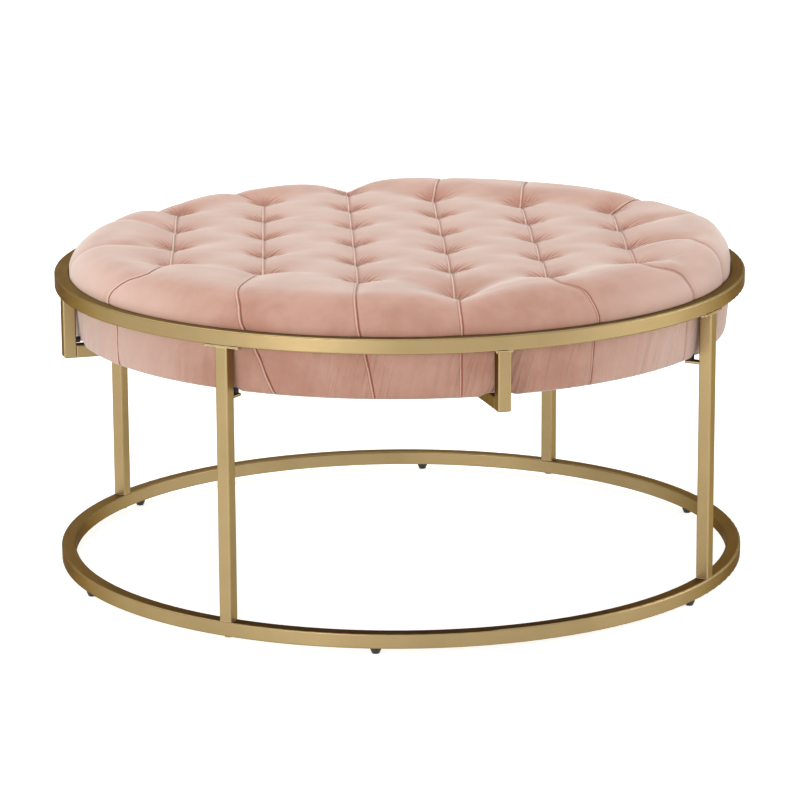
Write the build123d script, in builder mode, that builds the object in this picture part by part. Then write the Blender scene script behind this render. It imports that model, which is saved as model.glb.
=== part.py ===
from build123d import *
import os
from math import atan2, cos, degrees, hypot, radians, sin

# Round ottoman coffee table. Two square tube hoops and four legs make the frame. Four bars drop
# from the upper hoop and turn under the seat as a cross. The seat is a plywood disc with foam,
# wadding and a velvet cover of seven sewn strips, pulled down at every tuft.
# Millimetres, +Z up. The origin is on the floor at the middle. The cross bars lie along X and Y,
# and the legs stand between them. Angles are counted from +X, anticlockwise from above.

# Driving dimensions of the frame
overall_diameter = 914.4
foot_height = 8.0
frame_height = 391.0
ring_tube = 19.0
ring_wall = 1.5
ring_corner = 2.0
leg_tube = 17.0
leg_wall = 1.5
leg_corner = 2.0
bar_tube = 17.0
bar_wall = 1.5
bar_corner = 2.0
bar_drop = 77.0
inner_corner_share = 0.3

# Driving dimensions of the seat
seat_gap = 0.8
seat_crown = 46.0
seat_rim_width = 49.4
seat_shoulder = 3.0
seat_taper = 4.4
seat_base_round = 6.0
velvet_thickness = 1.2
hem_width = 46.0
soft_gap = 0.3
wadding_thickness = 6.0
board_thickness = 15.0
board_gap = 0.8
dust_cloth = 0.6
dust_inset = 28.0

# Tufts: six columns, each half a step on from the next. The shares of the overall diameter are
# the steps between columns and along them, and how far the whole field lies towards the back.
tufts_in_column = [4, 5, 6, 6, 5, 4]
column_share = 0.1305
tuft_share = 0.1351
tuft_shift_share = 0.0305
tuft_yaw = -14.2
tuft_depth = 23.0
pit_floor_radius = 3.0
pit_mouth_radius = 40.0

# Clearances, and how far a cutting shape runs past what it cuts
hole_gap = 0.1
cut_over = 5.0

# Angles of what repeats round the frame
leg_angles = {"front_left": 225, "front_right": 315, "back_right": 45, "back_left": 135}
bar_angles = {"front": 270, "right": 0, "back": 90, "left": 180}
foot_count = 6
first_foot_angle = 9.7

# Levels and radii that follow from the sizes above
ring_outer = overall_diameter / 2
ring_middle = ring_outer - ring_tube / 2
ring_inner = ring_outer - ring_tube
base_ring_top = foot_height + ring_tube
frame_top = foot_height + frame_height
top_ring_underside = frame_top - ring_tube
bar_bottom = top_ring_underside - bar_drop
seat_bottom = bar_bottom + bar_tube
hem_bottom = seat_bottom + dust_cloth
board_bottom = hem_bottom + velvet_thickness
board_top = board_bottom + board_thickness
crown_top = frame_top + seat_crown
seat_side_radius = ring_inner - seat_gap
seat_flat_radius = seat_side_radius - seat_rim_width
seat_base_radius = seat_side_radius - seat_taper
board_radius = seat_base_radius - velvet_thickness - board_gap
hem_inner_radius = seat_base_radius - hem_width
dust_radius = seat_base_radius - dust_inset
shoulder_level = frame_top + seat_shoulder
tuft_level = crown_top - tuft_depth
column_pitch = overall_diameter * column_share
tuft_pitch = overall_diameter * tuft_share
tuft_shift = overall_diameter * tuft_shift_share


def around(angle, radius, aside=0.0):
    """The point at an angle and a radius, moved aside along the tangent."""
    a = radians(angle)
    return (radius * cos(a) - aside * sin(a), radius * sin(a) + aside * cos(a))


def upright_plane(angle, radius, level):
    """A level plane whose own X points outwards at the given angle."""
    a = radians(angle)
    return Plane(origin=(*around(angle, radius), level), x_dir=(cos(a), sin(a), 0), z_dir=(0, 0, 1))


def side_plane(angle):
    """A standing plane through the axis: its X is the radius and its Y is the height."""
    a = radians(angle)
    return Plane(origin=(0, 0, 0), x_dir=(cos(a), sin(a), 0), z_dir=(sin(a), -cos(a), 0))


def tube_section(width, wall, corner):
    """Draws the section of a rounded square tube in the open sketch."""
    RectangleRounded(width, width, corner)
    bore = width - 2 * wall
    RectangleRounded(bore, bore, corner * inner_corner_share, mode=Mode.SUBTRACT)


def discs(places, radius, level, height, mode=Mode.ADD):
    """Equal upright discs at a list of places, in the open part."""
    with BuildSketch(Plane.XY.offset(level)) as circles:
        with Locations(*places):
            Circle(radius)
    extrude(circles.sketch, amount=height, mode=mode)


def finish(part, label):
    """Names a finished piece and writes it."""
    part.label = label
    export_step(part, f"parts/{label}.step")


os.makedirs("parts", exist_ok=True)

# Places of the tufts, seen from above. The two halves of the field are half a step apart.
tuft_places = []
seams = [(column - (len(tufts_in_column) - 1) / 2) * column_pitch for column in range(len(tufts_in_column))]
for across, count in zip(seams, tufts_in_column):
    middle = tuft_shift + (tuft_pitch / 4 if across < 0 else -tuft_pitch / 4)
    for step in range(count):
        along = middle + (step - (count - 1) / 2) * tuft_pitch
        turn = degrees(atan2(along, across)) + tuft_yaw
        tuft_places.append(around(turn, hypot(across, along)))

# Screws between the legs' plates and the top ring
plate_length = 50.0
plate_width = 18.0
plate_thickness = 2.5
plate_corner = 2.0
plate_screw_spread = 18.0
plate_screw_radius = 2.0
plate_screw_head_radius = 3.2
plate_screw_head_height = 2.2
plate_screw_head_round = 0.9
plate_screw_recess_length = 3.4
plate_screw_recess_width = 0.9
plate_screw_recess_depth = 1.0
ring_nut_radius = 4.0
ring_nut_height = 4.0
plate_bottom = top_ring_underside - plate_thickness
plate_screw_places = [around(angle, ring_middle, aside)
                      for angle in leg_angles.values()
                      for aside in (-plate_screw_spread, plate_screw_spread)]

# Bolts between the bottom ring and the legs, and the feet between them
leg_bolt_radius = 3.0
leg_bolt_head_radius = 5.5
leg_bolt_head_height = 2.5
leg_bolt_head_round = 0.8
leg_bolt_socket_radius = 2.0
leg_bolt_socket_depth = 1.6
leg_plug_height = 14.0
foot_stem_radius = 3.0
foot_stem_height = 7.0
foot_rim_radius = 7.0
foot_sole_radius = 4.6
foot_rim_height = 2.6
foot_sole_round = 1.0
leg_places = [around(angle, ring_middle) for angle in leg_angles.values()]
foot_angles = [first_foot_angle + 360 / foot_count * i for i in range(foot_count)]
foot_places = [around(angle, ring_middle) for angle in foot_angles]

# Bottom ring: a closed hoop of square tube, drilled for the leg bolts and the feet
with BuildPart() as bottom_ring:
    with BuildSketch(Plane.XZ):
        with Locations((ring_middle, foot_height + ring_tube / 2)):
            tube_section(ring_tube, ring_wall, ring_corner)
    revolve(axis=Axis.Z)
    drill_start = foot_height - cut_over
    discs(leg_places, leg_bolt_radius + hole_gap, drill_start, ring_tube + 2 * cut_over, Mode.SUBTRACT)
    discs(foot_places, foot_stem_radius + hole_gap, drill_start, ring_wall + cut_over, Mode.SUBTRACT)
finish(bottom_ring.part, "bottom_ring")

# Top ring: the same hoop, drilled for the plate screws
with BuildPart() as top_ring:
    with BuildSketch(Plane.XZ):
        with Locations((ring_middle, frame_top - ring_tube / 2)):
            tube_section(ring_tube, ring_wall, ring_corner)
    revolve(axis=Axis.Z)
    discs(plate_screw_places, plate_screw_radius + hole_gap, top_ring_underside - cut_over,
          ring_wall + cut_over, Mode.SUBTRACT)
finish(top_ring.part, "top_ring")

# Legs: square tube from the bottom ring up to the plates
for corner, angle in leg_angles.items():
    with BuildPart() as leg:
        with BuildSketch(upright_plane(angle, ring_middle, base_ring_top)):
            tube_section(leg_tube, leg_wall, leg_corner)
        extrude(amount=plate_bottom - base_ring_top)
    finish(leg.part, f"leg_{corner}")

# Plates: one on each leg's head, with a hole at each end
for corner, angle in leg_angles.items():
    with BuildPart() as leg_plate:
        with BuildSketch(upright_plane(angle, ring_middle, plate_bottom)):
            RectangleRounded(plate_width, plate_length, plate_corner)
            with Locations((0, -plate_screw_spread), (0, plate_screw_spread)):
                Circle(plate_screw_radius + hole_gap, mode=Mode.SUBTRACT)
        extrude(amount=plate_thickness)
    finish(leg_plate.part, f"leg_plate_{corner}")

# Plate screws: pan heads with a cross recess, below the plates
plate_screw_grip = plate_thickness + ring_wall + ring_nut_height
with BuildPart() as plate_screws:
    discs(plate_screw_places, plate_screw_head_radius, plate_bottom, -plate_screw_head_height)
    fillet(plate_screws.edges().group_by(Axis.Z)[0], plate_screw_head_round)
    discs(plate_screw_places, plate_screw_radius, plate_bottom, plate_screw_grip)
    with BuildSketch(Plane.XY.offset(plate_bottom - plate_screw_head_height)):
        with Locations(*plate_screw_places):
            Rectangle(plate_screw_recess_length, plate_screw_recess_width)
            Rectangle(plate_screw_recess_width, plate_screw_recess_length)
    extrude(amount=plate_screw_recess_depth, mode=Mode.SUBTRACT)
finish(plate_screws.part, "plate_screws")

# Ring nuts: hexagon weld nuts on the top ring's inner floor
with BuildPart() as ring_nuts:
    with BuildSketch(Plane.XY.offset(top_ring_underside + ring_wall)):
        with Locations(*plate_screw_places):
            RegularPolygon(ring_nut_radius, 6)
            Circle(plate_screw_radius + hole_gap, mode=Mode.SUBTRACT)
    extrude(amount=ring_nut_height)
finish(ring_nuts.part, "ring_nuts")

# Leg plugs: threaded blocks in the legs' lower ends
with BuildPart() as leg_plugs:
    for angle in leg_angles.values():
        with BuildSketch(upright_plane(angle, ring_middle, base_ring_top)):
            plug_side = leg_tube - 2 * leg_wall - 2 * hole_gap
            RectangleRounded(plug_side, plug_side, leg_corner * inner_corner_share)
            Circle(leg_bolt_radius + hole_gap, mode=Mode.SUBTRACT)
        extrude(amount=leg_plug_height)
finish(leg_plugs.part, "leg_plugs")

# Leg bolts: low heads under the bottom ring, shanks through it into the plugs
with BuildPart() as leg_bolts:
    discs(leg_places, leg_bolt_head_radius, foot_height, -leg_bolt_head_height)
    fillet(leg_bolts.edges().group_by(Axis.Z)[0], leg_bolt_head_round)
    discs(leg_places, leg_bolt_radius, foot_height, ring_tube + leg_plug_height)
    with BuildSketch(Plane.XY.offset(foot_height - leg_bolt_head_height)):
        with Locations(*leg_places):
            RegularPolygon(leg_bolt_socket_radius, 6)
    extrude(amount=leg_bolt_socket_depth, mode=Mode.SUBTRACT)
finish(leg_bolts.part, "leg_bolts")

# Feet: domed glides with a stem pressed into the ring's lower wall
for number, (x, y) in enumerate(foot_places, 1):
    with BuildPart() as foot:
        with BuildSketch(Plane.XZ.offset(-y)):
            with BuildLine():
                flank = Line((x + foot_sole_radius, 0), (x + foot_rim_radius, foot_height - foot_rim_height))
                rim = Line(flank @ 1, (x + foot_rim_radius, foot_height))
                Polyline(rim @ 1, (x + foot_stem_radius, foot_height),
                         (x + foot_stem_radius, foot_height + foot_stem_height),
                         (x, foot_height + foot_stem_height), (x, 0), flank @ 0)
            make_face()
        revolve(axis=Axis((x, y, 0), (0, 0, 1)))
        fillet(foot.edges().group_by(Axis.Z)[0], foot_sole_round)
    finish(foot.part, f"foot_{number}")

# Drop bars: square tube welded under the top ring, closed at the foot, with a small weld on each side
bar_setback = 0.5
bar_toe_round = 3.5
weld_size = 3.0
bar_outer = ring_outer - bar_setback
bar_inner = bar_outer - bar_tube
bar_middle = bar_outer - bar_tube / 2
for side, angle in bar_angles.items():
    with BuildPart() as drop_bar:
        with BuildSketch(side_plane(angle)):
            with Locations((bar_middle, bar_bottom + bar_drop / 2)):
                outline = Rectangle(bar_tube, bar_drop)
            fillet(outline.vertices().group_by(Axis.Y)[0].sort_by(Axis.X)[-1], bar_toe_round)
        extrude(amount=bar_tube / 2, both=True)
        cheeks = drop_bar.faces().sort_by(Axis((0, 0, 0), (*around(angle, 0, 1), 0)))
        fillet([edge for cheek in (cheeks[0], cheeks[-1]) for edge in cheek.edges().sort_by(Axis.Z)[:-1]],
               bar_corner)
        with BuildSketch(upright_plane(angle, bar_middle, top_ring_underside)):
            Rectangle(bar_tube - 2 * bar_wall, bar_tube - 2 * bar_wall)
        extrude(amount=bar_wall - bar_drop, mode=Mode.SUBTRACT)
        for way in (-1, 1):
            with BuildSketch(Plane(origin=(*around(angle, bar_middle), top_ring_underside),
                                   x_dir=(*around(angle, 0, way), 0), z_dir=(*around(angle, way), 0))):
                with BuildLine():
                    root = bar_tube / 2
                    Polyline((root, -weld_size), (root, 0), (root + weld_size, 0))
                    RadiusArc((root + weld_size, 0), (root, -weld_size), weld_size)
                make_face()
            extrude(amount=(bar_tube - 2 * bar_corner) / 2, both=True)
    finish(drop_bar.part, f"drop_bar_{side}")

# Cross bars: one long tube and two halves butted to its sides, with a hole for each seat screw
cross_screw_inset = 88.0
cross_screw_radius = 3.0
cross_screw_ring = seat_base_radius - cross_screw_inset
cross_screw_places = [around(angle, cross_screw_ring) for angle in bar_angles.values()]


def cross_bar(angle, start, length, label):
    """A level tube under the seat, from a radius outwards."""
    x, y = around(angle, start)
    with BuildPart() as bar:
        with BuildSketch(Plane(origin=(x, y, bar_bottom + bar_tube / 2), x_dir=(0, 0, 1),
                               z_dir=(*around(angle, 1), 0))):
            tube_section(bar_tube, bar_wall, bar_corner)
        extrude(amount=length)
        discs(cross_screw_places, cross_screw_radius + hole_gap, bar_bottom - cut_over,
              bar_tube + 2 * cut_over, Mode.SUBTRACT)
    finish(bar.part, label)


half_start = bar_tube / 2
cross_bar(bar_angles["right"], -bar_inner, 2 * bar_inner, "cross_bar_long")
cross_bar(bar_angles["front"], half_start, bar_inner - half_start, "cross_bar_half_front")
cross_bar(bar_angles["back"], half_start, bar_inner - half_start, "cross_bar_half_back")

# Tabs on the legs: a small plate welded to the inner face, with a countersunk hole
tab_thickness = 3.0
tab_width = 14.0
tab_length = 21.0
tab_corner = 3.0
tab_drop = 7.0
tab_screw_setback = 15.2
tab_screw_radius = 2.0
tab_screw_head_radius = 4.0
tab_screw_head_height = 2.0
tab_screw_bite = 12.0
spacer_radius = 5.0
leg_inner = ring_middle - leg_tube / 2
tab_screw_ring = leg_inner - tab_screw_setback
tab_top = seat_bottom - tab_drop
tab_bottom = tab_top - tab_thickness
tab_screw_places = [around(angle, tab_screw_ring) for angle in leg_angles.values()]
for corner, angle in leg_angles.items():
    with BuildPart() as seat_tab:
        with BuildSketch(upright_plane(angle, leg_inner - tab_length / 2, tab_bottom)):
            plate = Rectangle(tab_length, tab_width)
            fillet(plate.vertices().group_by(Axis.X)[0], tab_corner)
        extrude(amount=tab_thickness)
        with Locations((*around(angle, tab_screw_ring), tab_bottom)):
            Cone(tab_screw_head_radius + hole_gap, tab_screw_radius + hole_gap, tab_screw_head_height,
                 align=(Align.CENTER, Align.CENTER, Align.MIN), mode=Mode.SUBTRACT)
        discs([around(angle, tab_screw_ring)], tab_screw_radius + hole_gap, tab_bottom, tab_thickness,
              Mode.SUBTRACT)
    finish(seat_tab.part, f"seat_tab_{corner}")

# Spacers: black collars between the tabs and the velvet's hem
with BuildPart() as tab_spacers:
    discs(tab_screw_places, spacer_radius, tab_top, hem_bottom - tab_top)
    discs(tab_screw_places, tab_screw_radius + hole_gap, tab_top, hem_bottom - tab_top, Mode.SUBTRACT)
finish(tab_spacers.part, "tab_spacers")

# Tab screws: countersunk from below, through the spacer and the hem into the board
tab_screw_top = board_bottom + tab_screw_bite
with BuildPart() as tab_screws:
    discs(tab_screw_places, tab_screw_radius, tab_bottom, tab_screw_top - tab_bottom)
    with Locations(*[(x, y, tab_bottom) for x, y in tab_screw_places]):
        Cone(tab_screw_head_radius, tab_screw_radius, tab_screw_head_height,
             align=(Align.CENTER, Align.CENTER, Align.MIN))
finish(tab_screws.part, "tab_screws")

# Bumpers: black studs on the drop bars' inner faces that keep the seat in the middle
bumper_radius = 4.0
bumper_lift = 6.0
bumper_gap = 0.3
bumper_share = bumper_lift / (shoulder_level - hem_bottom)
bumper_start = seat_base_radius + seat_taper * bumper_share + bumper_gap
with BuildPart() as bar_bumpers:
    for angle in bar_angles.values():
        with BuildSketch(Plane(origin=(*around(angle, bumper_start), seat_bottom + bumper_lift),
                               x_dir=(0, 0, 1), z_dir=(*around(angle, 1), 0))):
            Circle(bumper_radius)
        extrude(amount=bar_inner - bumper_start)
finish(bar_bumpers.part, "bar_bumpers")


def seat_outline(inset, bottom, base_radius, base_round):
    """Draws half of the seat's section in the open sketch, a little inside its outer surface."""
    with BuildLine() as section:
        side = Line((base_radius, bottom), (seat_side_radius - inset, shoulder_level))
        rim = EllipticalCenterArc((seat_flat_radius, shoulder_level),
                                  seat_side_radius - inset - seat_flat_radius,
                                  crown_top - inset - shoulder_level, 0, arc_size=90)
        Polyline(rim @ 1, (0, crown_top - inset), (0, bottom), side @ 0)
    half = make_face(section.edges())
    if base_round > 0:
        fillet(half.vertices().group_by(Axis.Y)[0].sort_by(Axis.X)[-1], base_round)


def base_radius_at(level, inset):
    """The seat's side radius at a level, less the inset."""
    share = (level - hem_bottom) / (shoulder_level - hem_bottom)
    return seat_base_radius + seat_taper * share - inset


def tuft_pits(inset):
    """Cuts a round pit at each tuft, offset by the inset below the cover's outer surface."""
    slope = (pit_mouth_radius - pit_floor_radius) / tuft_depth
    spread = inset * (hypot(1, slope) - slope)
    height = tuft_depth + cut_over + inset
    floor_radius = pit_floor_radius + spread
    with Locations(*[(x, y, tuft_level - inset) for x, y in tuft_places]):
        Cone(floor_radius, floor_radius + slope * height, height,
             align=(Align.CENTER, Align.CENTER, Align.MIN), mode=Mode.SUBTRACT)


def soft_body(inset, bottom, base_round=0.0):
    """The seat's solid at an inset, with its pits."""
    with BuildPart() as body:
        with BuildSketch(Plane.XZ):
            seat_outline(inset, bottom, base_radius_at(bottom, inset), base_round)
        revolve(axis=Axis.Z)
        tuft_pits(inset)
    return body.part


# Sizes of what passes through the seat's layers
twine_radius = 0.8
board_tie_radius = 2.0
foam_tie_radius = 2.5
anchor_radius = 6.0
anchor_thickness = 1.0
anchor_hole_radius = 1.0
tee_barrel_radius = 4.0
tee_flange_radius = 9.0
tee_flange_thickness = 1.5
staple_count = 24
staple_inset = 7.0
staple_crown = 10.0
staple_wire = 0.6
staple_width = 1.2
staple_leg = 8.0
staple_ring = dust_radius - staple_inset
staple_angles = [360 / staple_count * (i + 1 / 2) for i in range(staple_count)]


def staple_legs(gap, mode=Mode.ADD):
    """Adds or cuts the legs of every staple, standing up from the dust cover's lower face."""
    reach = (staple_crown - staple_wire) / 2
    with BuildSketch(Plane.XY.offset(seat_bottom)) as legs:
        with Locations(*[Location((*around(angle, staple_ring), 0), angle) for angle in staple_angles]):
            with Locations((0, -reach), (0, reach)):
                Rectangle(staple_width + 2 * gap, staple_wire + 2 * gap)
    extrude(legs.sketch, amount=staple_leg, mode=mode)


# Board: plywood disc, drilled for the twines, the screws and their nuts
with BuildPart() as seat_board:
    with BuildSketch(Plane.XY.offset(board_bottom)):
        Circle(board_radius)
    extrude(amount=board_thickness)
    fillet(seat_board.edges().group_by(Axis.Z)[0], seat_base_round - velvet_thickness)
    discs(tuft_places, board_tie_radius, board_bottom, board_thickness, Mode.SUBTRACT)
    discs(tuft_places, anchor_radius + hole_gap, board_bottom, anchor_thickness, Mode.SUBTRACT)
    discs(tab_screw_places, tab_screw_radius + hole_gap, board_bottom, tab_screw_bite, Mode.SUBTRACT)
    discs(cross_screw_places, tee_barrel_radius + hole_gap, board_bottom, board_thickness, Mode.SUBTRACT)
    discs(cross_screw_places, tee_flange_radius + hole_gap, board_top, -tee_flange_thickness, Mode.SUBTRACT)
    staple_legs(hole_gap, Mode.SUBTRACT)
finish(seat_board.part, "seat_board")

# Dust cover: black cloth disc below the board
with BuildPart() as dust_cover:
    discs([(0, 0)], dust_radius, seat_bottom, dust_cloth)
    discs(cross_screw_places, cross_screw_radius + hole_gap, seat_bottom, dust_cloth, Mode.SUBTRACT)
    staple_legs(hole_gap, Mode.SUBTRACT)
finish(dust_cover.part, "dust_cover")

# Staples: crowns against the dust cover, legs through it and the hem into the board
with BuildPart() as staples:
    staple_legs(0)
    with BuildSketch(Plane.XY.offset(seat_bottom)):
        with Locations(*[Location((*around(angle, staple_ring), 0), angle) for angle in staple_angles]):
            Rectangle(staple_width, staple_crown)
    extrude(amount=-staple_wire)
finish(staples.part, "staples")

# Tee nuts: a barrel in the board with a flange let into its top
with BuildPart() as tee_nuts:
    barrel = board_thickness - tee_flange_thickness
    discs(cross_screw_places, tee_barrel_radius, board_bottom, barrel)
    discs(cross_screw_places, tee_flange_radius, board_top, -tee_flange_thickness)
    discs(cross_screw_places, cross_screw_radius + hole_gap, board_bottom, board_thickness, Mode.SUBTRACT)
finish(tee_nuts.part, "tee_nuts")

# Cross screws and washers: from below the cross bars up to the tee nuts' flanges
cross_head_radius = 5.0
cross_head_height = 4.0
cross_head_round = 1.2
cross_socket_radius = 2.6
cross_socket_depth = 2.4
washer_radius = 7.0
washer_thickness = 1.2
washer_bottom = bar_bottom - washer_thickness
with BuildPart() as cross_washers:
    discs(cross_screw_places, washer_radius, washer_bottom, washer_thickness)
    discs(cross_screw_places, cross_screw_radius + hole_gap, washer_bottom, washer_thickness, Mode.SUBTRACT)
finish(cross_washers.part, "cross_washers")
with BuildPart() as cross_screws:
    discs(cross_screw_places, cross_head_radius, washer_bottom, -cross_head_height)
    fillet(cross_screws.edges().group_by(Axis.Z)[0], cross_head_round)
    discs(cross_screw_places, cross_screw_radius, washer_bottom, board_top - washer_bottom)
    with BuildSketch(Plane.XY.offset(washer_bottom - cross_head_height)):
        with Locations(*cross_screw_places):
            RegularPolygon(cross_socket_radius, 6)
    extrude(amount=cross_socket_depth, mode=Mode.SUBTRACT)
finish(cross_screws.part, "cross_screws")

# Twines and their anchors: a washer in the board's underside holds each twine
with BuildPart() as tuft_anchors:
    discs(tuft_places, anchor_radius, board_bottom, anchor_thickness)
    discs(tuft_places, anchor_hole_radius, board_bottom, anchor_thickness, Mode.SUBTRACT)
finish(tuft_anchors.part, "tuft_anchors")
with BuildPart() as tuft_twine:
    twine_top = tuft_level - velvet_thickness - soft_gap
    discs(tuft_places, twine_radius, board_bottom, twine_top - board_bottom)
finish(tuft_twine.part, "tuft_twine")

# Wadding: a layer over the foam's top and side, down to the board
wadding_inset = velvet_thickness + soft_gap
with BuildPart() as seat_wadding:
    add(soft_body(wadding_inset, board_top))
    add(soft_body(wadding_inset + wadding_thickness, board_top - cut_over), mode=Mode.SUBTRACT)
    discs(tuft_places, foam_tie_radius, board_top, crown_top - board_top, Mode.SUBTRACT)
finish(seat_wadding.part, "seat_wadding")

# Foam: one block with a pit and a twine hole at each tuft
with BuildPart() as seat_foam:
    add(soft_body(wadding_inset + wadding_thickness + soft_gap, board_top))
    discs(tuft_places, foam_tie_radius, board_top, crown_top - board_top, Mode.SUBTRACT)
finish(seat_foam.part, "seat_foam")

# Velvet: the whole cover with its hem under the board, then cut at the seams into seven strips
with BuildPart() as cover:
    add(soft_body(0, hem_bottom, seat_base_round))
    add(soft_body(velvet_thickness, board_bottom, seat_base_round - velvet_thickness), mode=Mode.SUBTRACT)
    discs([(0, 0)], hem_inner_radius, hem_bottom, velvet_thickness, Mode.SUBTRACT)
    discs(tab_screw_places, tab_screw_radius + hole_gap, hem_bottom, velvet_thickness, Mode.SUBTRACT)
    staple_legs(hole_gap, Mode.SUBTRACT)

strip_edges = [-ring_outer] + seams + [ring_outer]
seam_plane = Plane.XY.rotated((0, 0, tuft_yaw))
for number, (left, right) in enumerate(zip(strip_edges, strip_edges[1:]), 1):
    with BuildPart() as strip:
        add(cover.part)
        with BuildSketch(seam_plane):
            with Locations(((left + right) / 2, 0)):
                Rectangle(right - left, overall_diameter)
        extrude(amount=crown_top, mode=Mode.INTERSECT)
    finish(strip.part, f"velvet_panel_{number}")
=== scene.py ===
"""Round ottoman coffee table: a tufted velvet seat held in a frame of gold coated square tube."""
import math

import bmesh
import bpy
import numpy as np
from mathutils import Matrix, Vector


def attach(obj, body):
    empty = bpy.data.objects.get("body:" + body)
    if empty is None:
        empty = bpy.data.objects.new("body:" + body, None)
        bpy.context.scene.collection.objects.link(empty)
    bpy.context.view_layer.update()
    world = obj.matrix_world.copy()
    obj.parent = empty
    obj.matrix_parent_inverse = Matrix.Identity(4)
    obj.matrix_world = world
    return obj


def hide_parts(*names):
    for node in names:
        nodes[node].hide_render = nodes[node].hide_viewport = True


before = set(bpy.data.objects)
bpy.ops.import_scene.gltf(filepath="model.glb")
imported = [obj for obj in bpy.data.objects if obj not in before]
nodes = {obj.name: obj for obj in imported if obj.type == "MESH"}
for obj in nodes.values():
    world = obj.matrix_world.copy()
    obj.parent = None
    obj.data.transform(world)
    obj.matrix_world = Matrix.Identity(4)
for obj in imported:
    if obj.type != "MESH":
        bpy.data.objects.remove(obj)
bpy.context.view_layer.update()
bpy.context.scene.view_settings.view_transform = "Standard"


# Camera: a long lens almost 5 m away, in front of the table and a little to its left, and 1.4 m
# above the floor. It looks down at the table's middle.
def put_in_scene(name, data):
    """Adds an object to the scene."""
    item = bpy.data.objects.new(name, data)
    bpy.context.scene.collection.objects.link(item)
    return item


lens_mm, sensor_mm, farthest_seen = 163.2, 36, 60
front_way = (-0.279, -0.960)
camera_distance, camera_height = 4.726, 1.3652
view_turn, look_down, lens_roll = math.radians(16.2), math.radians(13.71), math.radians(-0.31)
lens = bpy.data.cameras.new("camera")
lens.lens = lens_mm
lens.sensor_width = sensor_mm
lens.clip_end = farthest_seen
camera = put_in_scene("camera", lens)
camera_place = Vector((front_way[0] * camera_distance, front_way[1] * camera_distance, camera_height))
camera.matrix_world = (Matrix.Translation(camera_place) @ Matrix.Rotation(-view_turn, 4, "Z")
                       @ Matrix.Rotation(math.pi / 2 - look_down, 4, "X")
                       @ Matrix.Rotation(lens_roll, 4, "Z"))
bpy.context.scene.camera = camera


# Room: a white studio. The floor is white to the lens and to reflections, and keeps the table's own
# soft shadow. A broad panel hangs overhead, and two low ones stand in front, the left one stronger.
def node(tree, kind, **inputs):
    """Adds a node. An input is a value or the socket it is linked from; lower case words set the node."""
    made = tree.nodes.new(kind)
    for name, value in inputs.items():
        if name[0].islower():
            setattr(made, name, value)
            continue
        by_number = name[0] == "I" and name[1:].isdigit()
        socket = made.inputs[int(name[1:]) if by_number else name.replace("_", " ")]
        if isinstance(value, bpy.types.NodeSocket):
            tree.links.new(value, socket)
        else:
            socket.default_value = value
    return made


def maths(tree, operation, first, second=0.0, third=0.0):
    """One sum with numbers that change over a surface."""
    return node(tree, "ShaderNodeMath", operation=operation, I0=first, I1=second, I2=third).outputs[0]


def spread(tree, value, low, high, start=0.0, end=1.0):
    """An even change from start to end while a value goes from low to high."""
    return node(tree, "ShaderNodeMapRange", Value=value, From_Min=low, From_Max=high,
                To_Min=start, To_Max=end).outputs[0]


def new_material(name):
    """An empty node material and its tree."""
    material = bpy.data.materials.new(name)
    material.use_nodes = True
    material.node_tree.nodes.clear()
    return material, material.node_tree


def made_mesh(name, shape):
    """A finished bmesh as a mesh."""
    mesh = bpy.data.meshes.new(name)
    shape.to_mesh(mesh)
    shape.free()
    return mesh


def seen_or_mirrored(tree):
    """1 for rays from the lens, from reflections and through glass, and 0 for the light on things."""
    path = node(tree, "ShaderNodeLightPath").outputs
    seen = maths(tree, "MAXIMUM", path["Is Camera Ray"], path["Is Glossy Ray"])
    return maths(tree, "MAXIMUM", seen, path["Is Transmission Ray"])


room_light, floor_paint, floor_glow = 0.6, 0.8, 0.75
world = bpy.data.worlds.new("studio")
bpy.context.scene.world = world
world.use_nodes = True
tree = world.node_tree
tree.nodes.clear()
air = node(tree, "ShaderNodeBackground", Color=(1, 1, 1, 1),
           Strength=spread(tree, seen_or_mirrored(tree), 0.0, 1.0, room_light, 1.0))
node(tree, "ShaderNodeOutputWorld", Surface=air.outputs[0])

floor_size = 9.0
shape = bmesh.new()
bmesh.ops.create_grid(shape, x_segments=1, y_segments=1, size=floor_size)
floor = put_in_scene("floor", made_mesh("floor", shape))
paper, tree = new_material("white_floor")
matt = node(tree, "ShaderNodeBsdfDiffuse", Color=(floor_paint, floor_paint, floor_paint, 1))
glow = node(tree, "ShaderNodeEmission", Color=(1, 1, 1, 1),
            Strength=maths(tree, "MULTIPLY", seen_or_mirrored(tree), floor_glow))
both = node(tree, "ShaderNodeAddShader", I0=matt.outputs[0], I1=glow.outputs[0])
node(tree, "ShaderNodeOutputMaterial", Surface=both.outputs[0])
floor.data.materials.append(paper)

lamp_aim = Vector((0, 0, 0.3))
for name, place, size, watts in (("overhead_panel", (-0.8, 1.0, 3.2), 2.6, 50),
                                 ("left_panel", (-3.2, -3.2, 0.9), 1.8, 62),
                                 ("right_panel", (3.4, -1.6, 0.9), 1.8, 34)):
    panel = bpy.data.lights.new(name, "AREA")
    panel.size = size
    panel.energy = watts
    place = Vector(place)
    turned = (lamp_aim - place).to_track_quat("-Z", "Y").to_matrix().to_4x4()
    put_in_scene(name, panel).matrix_world = Matrix.Translation(place) @ turned


# Frame: both hoops, the legs and their plates, the drop bars, the cross and the tabs are mild
# steel, welded, ground smooth and given a satin champagne gold coat. Its edges carry a painted
# highlight.
def srgb(red, green, blue):
    """A colour as it is read off a screen, from 0 to 255, made linear."""
    return tuple((c / 255 / 12.92) if c <= 10 else ((c / 255 + 0.055) / 1.055) ** 2.4
                 for c in (red, green, blue)) + (1.0,)


def object_place(tree):
    """Where a point is on its object."""
    return node(tree, "ShaderNodeTexCoord").outputs["Object"]


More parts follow.
